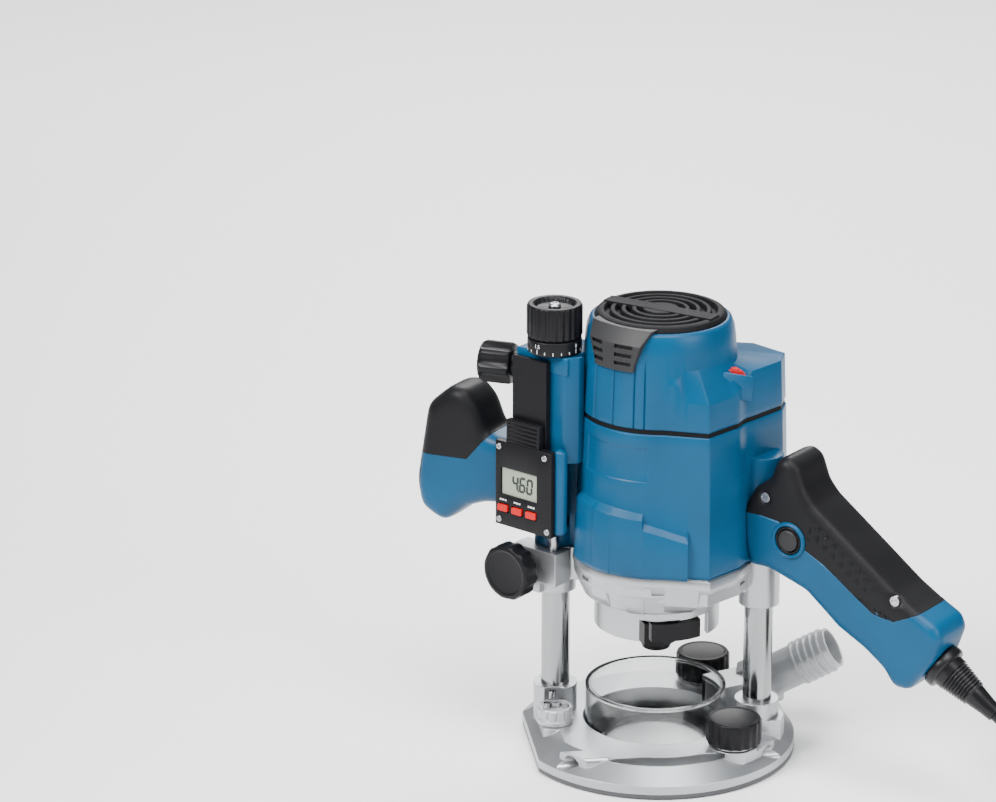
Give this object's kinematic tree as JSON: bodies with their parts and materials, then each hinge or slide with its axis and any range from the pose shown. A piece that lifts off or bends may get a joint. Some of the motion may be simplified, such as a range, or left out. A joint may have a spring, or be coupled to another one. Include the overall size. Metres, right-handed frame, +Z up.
{
  "type": "plunge router",
  "caption": "Plunge router on two chromed guide columns with side handles, digital depth gauge, clear dust hood, dust spout and mains cord.",
  "frame": {"origin": "on the spindle axis at the underside of the sole plate", "axes": "+Z up along the spindle, +X along the two parallel-guide rod bores, away from the base's flat side"},
  "size_m": [0.441, 0.2608, 0.276],
  "materials": {
    "blue_plastic": "fine textured blue housing plastic",
    "soft_grip": "black soft grip",
    "black_plastic": "black moulded plastic",
    "cast_aluminium": "bead-blasted die casting",
    "chrome_steel": "hard-chromed tube",
    "steel": "machined steel",
    "clear_plastic": "clear hood",
    "grey_plastic": "silver-grey spout",
    "sole_black": "dark sole plate",
    "copper": "enamelled copper",
    "laminated_steel": "laminated core",
    "carbon": "carbon",
    "bronze": "sintered bronze",
    "red_plastic": "red key plastic",
    "lcd": "grey-green display",
    "cord_rubber": "rubber cord sheath"
  },
  "bodies": {
    "base": {"sole_plate": "sole_black", "sole_screws": "steel", "base_casting": "cast_aluminium", "column_left": "chrome_steel", "column_right": "chrome_steel", "column_bolts": "steel", "column_springs": "steel", "turret_pivot": "steel", "dust_hood": "clear_plastic", "dust_spout": "grey_plastic", "cord_tube": "cord_rubber", "cord_coil": "cord_rubber", "mains_plug": "cord_rubber"},
    "turret": {"stop_turret": "grey_plastic", "turret_screws": "steel"},
    "clamp_front": {"guide_clamp_knob_front": "black_plastic"},
    "clamp_back": {"guide_clamp_knob_back": "black_plastic"},
    "latch": {"hood_latch": "black_plastic"},
    "motor_unit": {"plunge_casting": "cast_aluminium", "motor_housing": "blue_plastic", "top_cover": "blue_plastic", "vent_cap": "black_plastic", "column_bushes": "bronze", "left_handle": "blue_plastic", "left_grip": "soft_grip", "right_handle_spine": "blue_plastic", "right_handle_grip": "soft_grip", "grip_screws": "steel", "switch_module": "black_plastic", "strain_relief": "cord_rubber", "bearing_outer_races": "steel", "stator_core": "laminated_steel", "field_coils": "copper", "brush_holders": "bronze", "carbon_brushes": "carbon", "electronics_module": "black_plastic", "depth_bracket": "blue_plastic", "scale_bar": "black_plastic"},
    "rotor": {"spindle": "steel", "armature_core": "laminated_steel", "armature_windings": "copper", "commutator": "copper", "cooling_fan": "black_plastic", "collet": "steel", "collet_nut": "steel", "bearing_inner_races": "steel"},
    "trigger_lever": {"trigger": "black_plastic"},
    "lock_on": {"lock_button": "black_plastic"},
    "spindle_stop": {"spindle_lock": "black_plastic"},
    "dial": {"speed_dial": "red_plastic"},
    "plunge_clamp": {"plunge_lock_knob": "black_plastic"},
    "depth_carriage": {"display_case": "black_plastic", "lcd_window": "lcd"},
    "stop_rod": {"depth_rod": "steel"},
    "fine_knob": {"fine_adjust_knob": "black_plastic"},
    "zero_ring": {"scale_ring": "black_plastic"},
    "rod_clamp": {"rod_clamp_knob": "black_plastic"},
    "button_left": {"display_button_left": "red_plastic"},
    "button_middle": {"display_button_middle": "red_plastic"},
    "button_right": {"display_button_right": "red_plastic"}
  },
  "joints": [
    {"name": "plunge", "type": "slide", "parent": "base", "child": "motor_unit", "axis": [0, 0, -1], "range_m": [0, 0.06], "stiffness_N_per_m": 650, "springref_m": -0.07, "deforming": ["column_springs", "cord_tube"]},
    {"name": "turret_turn", "type": "hinge", "parent": "base", "child": "turret", "pos_m": [-0.0605, -0.0005, 0.02], "axis": [0, 0, 1], "continuous": true},
    {"name": "front_clamp_turn", "type": "hinge", "parent": "base", "child": "clamp_front", "pos_m": [0.038, -0.0505, 0.02], "axis": [0, 0, 1], "range_deg": [0, 360]},
    {"name": "back_clamp_turn", "type": "hinge", "parent": "base", "child": "clamp_back", "pos_m": [0.038, 0.0505, 0.02], "axis": [0, 0, 1], "range_deg": [0, 360]},
    {"name": "latch_turn", "type": "hinge", "parent": "base", "child": "latch", "pos_m": [0.058, 0.0435, 0.018], "axis": [0, 0, 1], "range_deg": [-12, 8]},
    {"name": "spindle_spin", "type": "hinge", "parent": "motor_unit", "child": "rotor", "pos_m": [0, 0, 0.1], "axis": [0, 0, 1], "continuous": true},
    {"name": "trigger_pull", "type": "hinge", "parent": "motor_unit", "child": "trigger_lever", "pos_m": [0.05817, -0.02092, 0.134], "axis": [-0.6947, -0.7193, 0], "range_deg": [0, 4], "stiffness_Nm_per_rad": 1.5, "springref_deg": -6.88},
    {"name": "lock_on_press", "type": "slide", "parent": "motor_unit", "child": "lock_on", "axis": [0.6947, 0.7193, 0], "range_m": [0, 0.003], "stiffness_N_per_m": 400, "springref_m": -0.003},
    {"name": "spindle_lock_swing", "type": "hinge", "parent": "motor_unit", "child": "spindle_stop", "pos_m": [0, 0, 0.085], "axis": [0, 0, 1], "range_deg": [0, 7], "stiffness_Nm_per_rad": 0.5, "springref_deg": -5.73},
    {"name": "speed_dial_turn", "type": "hinge", "parent": "motor_unit", "child": "dial", "pos_m": [0.0361, -0.02724, 0.2345], "axis": [-0.2756, 0.9613, 0], "range_deg": [0, 270]},
    {"name": "plunge_lock_turn", "type": "hinge", "parent": "motor_unit", "child": "plunge_clamp", "pos_m": [-0.05739, 0.01976, 0.231], "axis": [-0.891, 0.454, 0], "range_deg": [0, 60]},
    {"name": "gauge_slide", "type": "slide", "parent": "motor_unit", "child": "depth_carriage", "axis": [0, 0, 1], "range_m": [0, 0.035]},
    {"name": "rod_fine", "type": "slide", "parent": "depth_carriage", "child": "stop_rod", "axis": [0, 0, 1], "range_m": [-0.0041, 0.0041]},
    {"name": "fine_turn", "type": "hinge", "parent": "motor_unit", "child": "fine_knob", "pos_m": [-0.061, 0.005, 0.25], "axis": [0, 0, 1], "range_deg": [-720, 720]},
    {"name": "zero_ring_turn", "type": "hinge", "parent": "motor_unit", "child": "zero_ring", "pos_m": [-0.061, 0.005, 0.25], "axis": [0, 0, 1], "continuous": true},
    {"name": "rod_clamp_turn", "type": "hinge", "parent": "motor_unit", "child": "rod_clamp", "pos_m": [-0.08244, 0.00855, 0.112], "axis": [-0.7373, -0.6756, 0], "range_deg": [0, 180]},
    {"name": "button_left_press", "type": "slide", "parent": "depth_carriage", "child": "button_left", "axis": [0.7373, 0.6756, 0], "range_m": [0, 0.0008], "stiffness_N_per_m": 600, "springref_m": -0.0008},
    {"name": "button_middle_press", "type": "slide", "parent": "depth_carriage", "child": "button_middle", "axis": [0.7373, 0.6756, 0], "range_m": [0, 0.0008], "stiffness_N_per_m": 600, "springref_m": -0.0008},
    {"name": "button_right_press", "type": "slide", "parent": "depth_carriage", "child": "button_right", "axis": [0.7373, 0.6756, 0], "range_m": [0, 0.0008], "stiffness_N_per_m": 600, "springref_m": -0.0008}
  ],
  "couplings": [
    {"joint": "rod_fine", "follows": "fine_turn", "m_per_rad": 0.00031831}
  ]
}
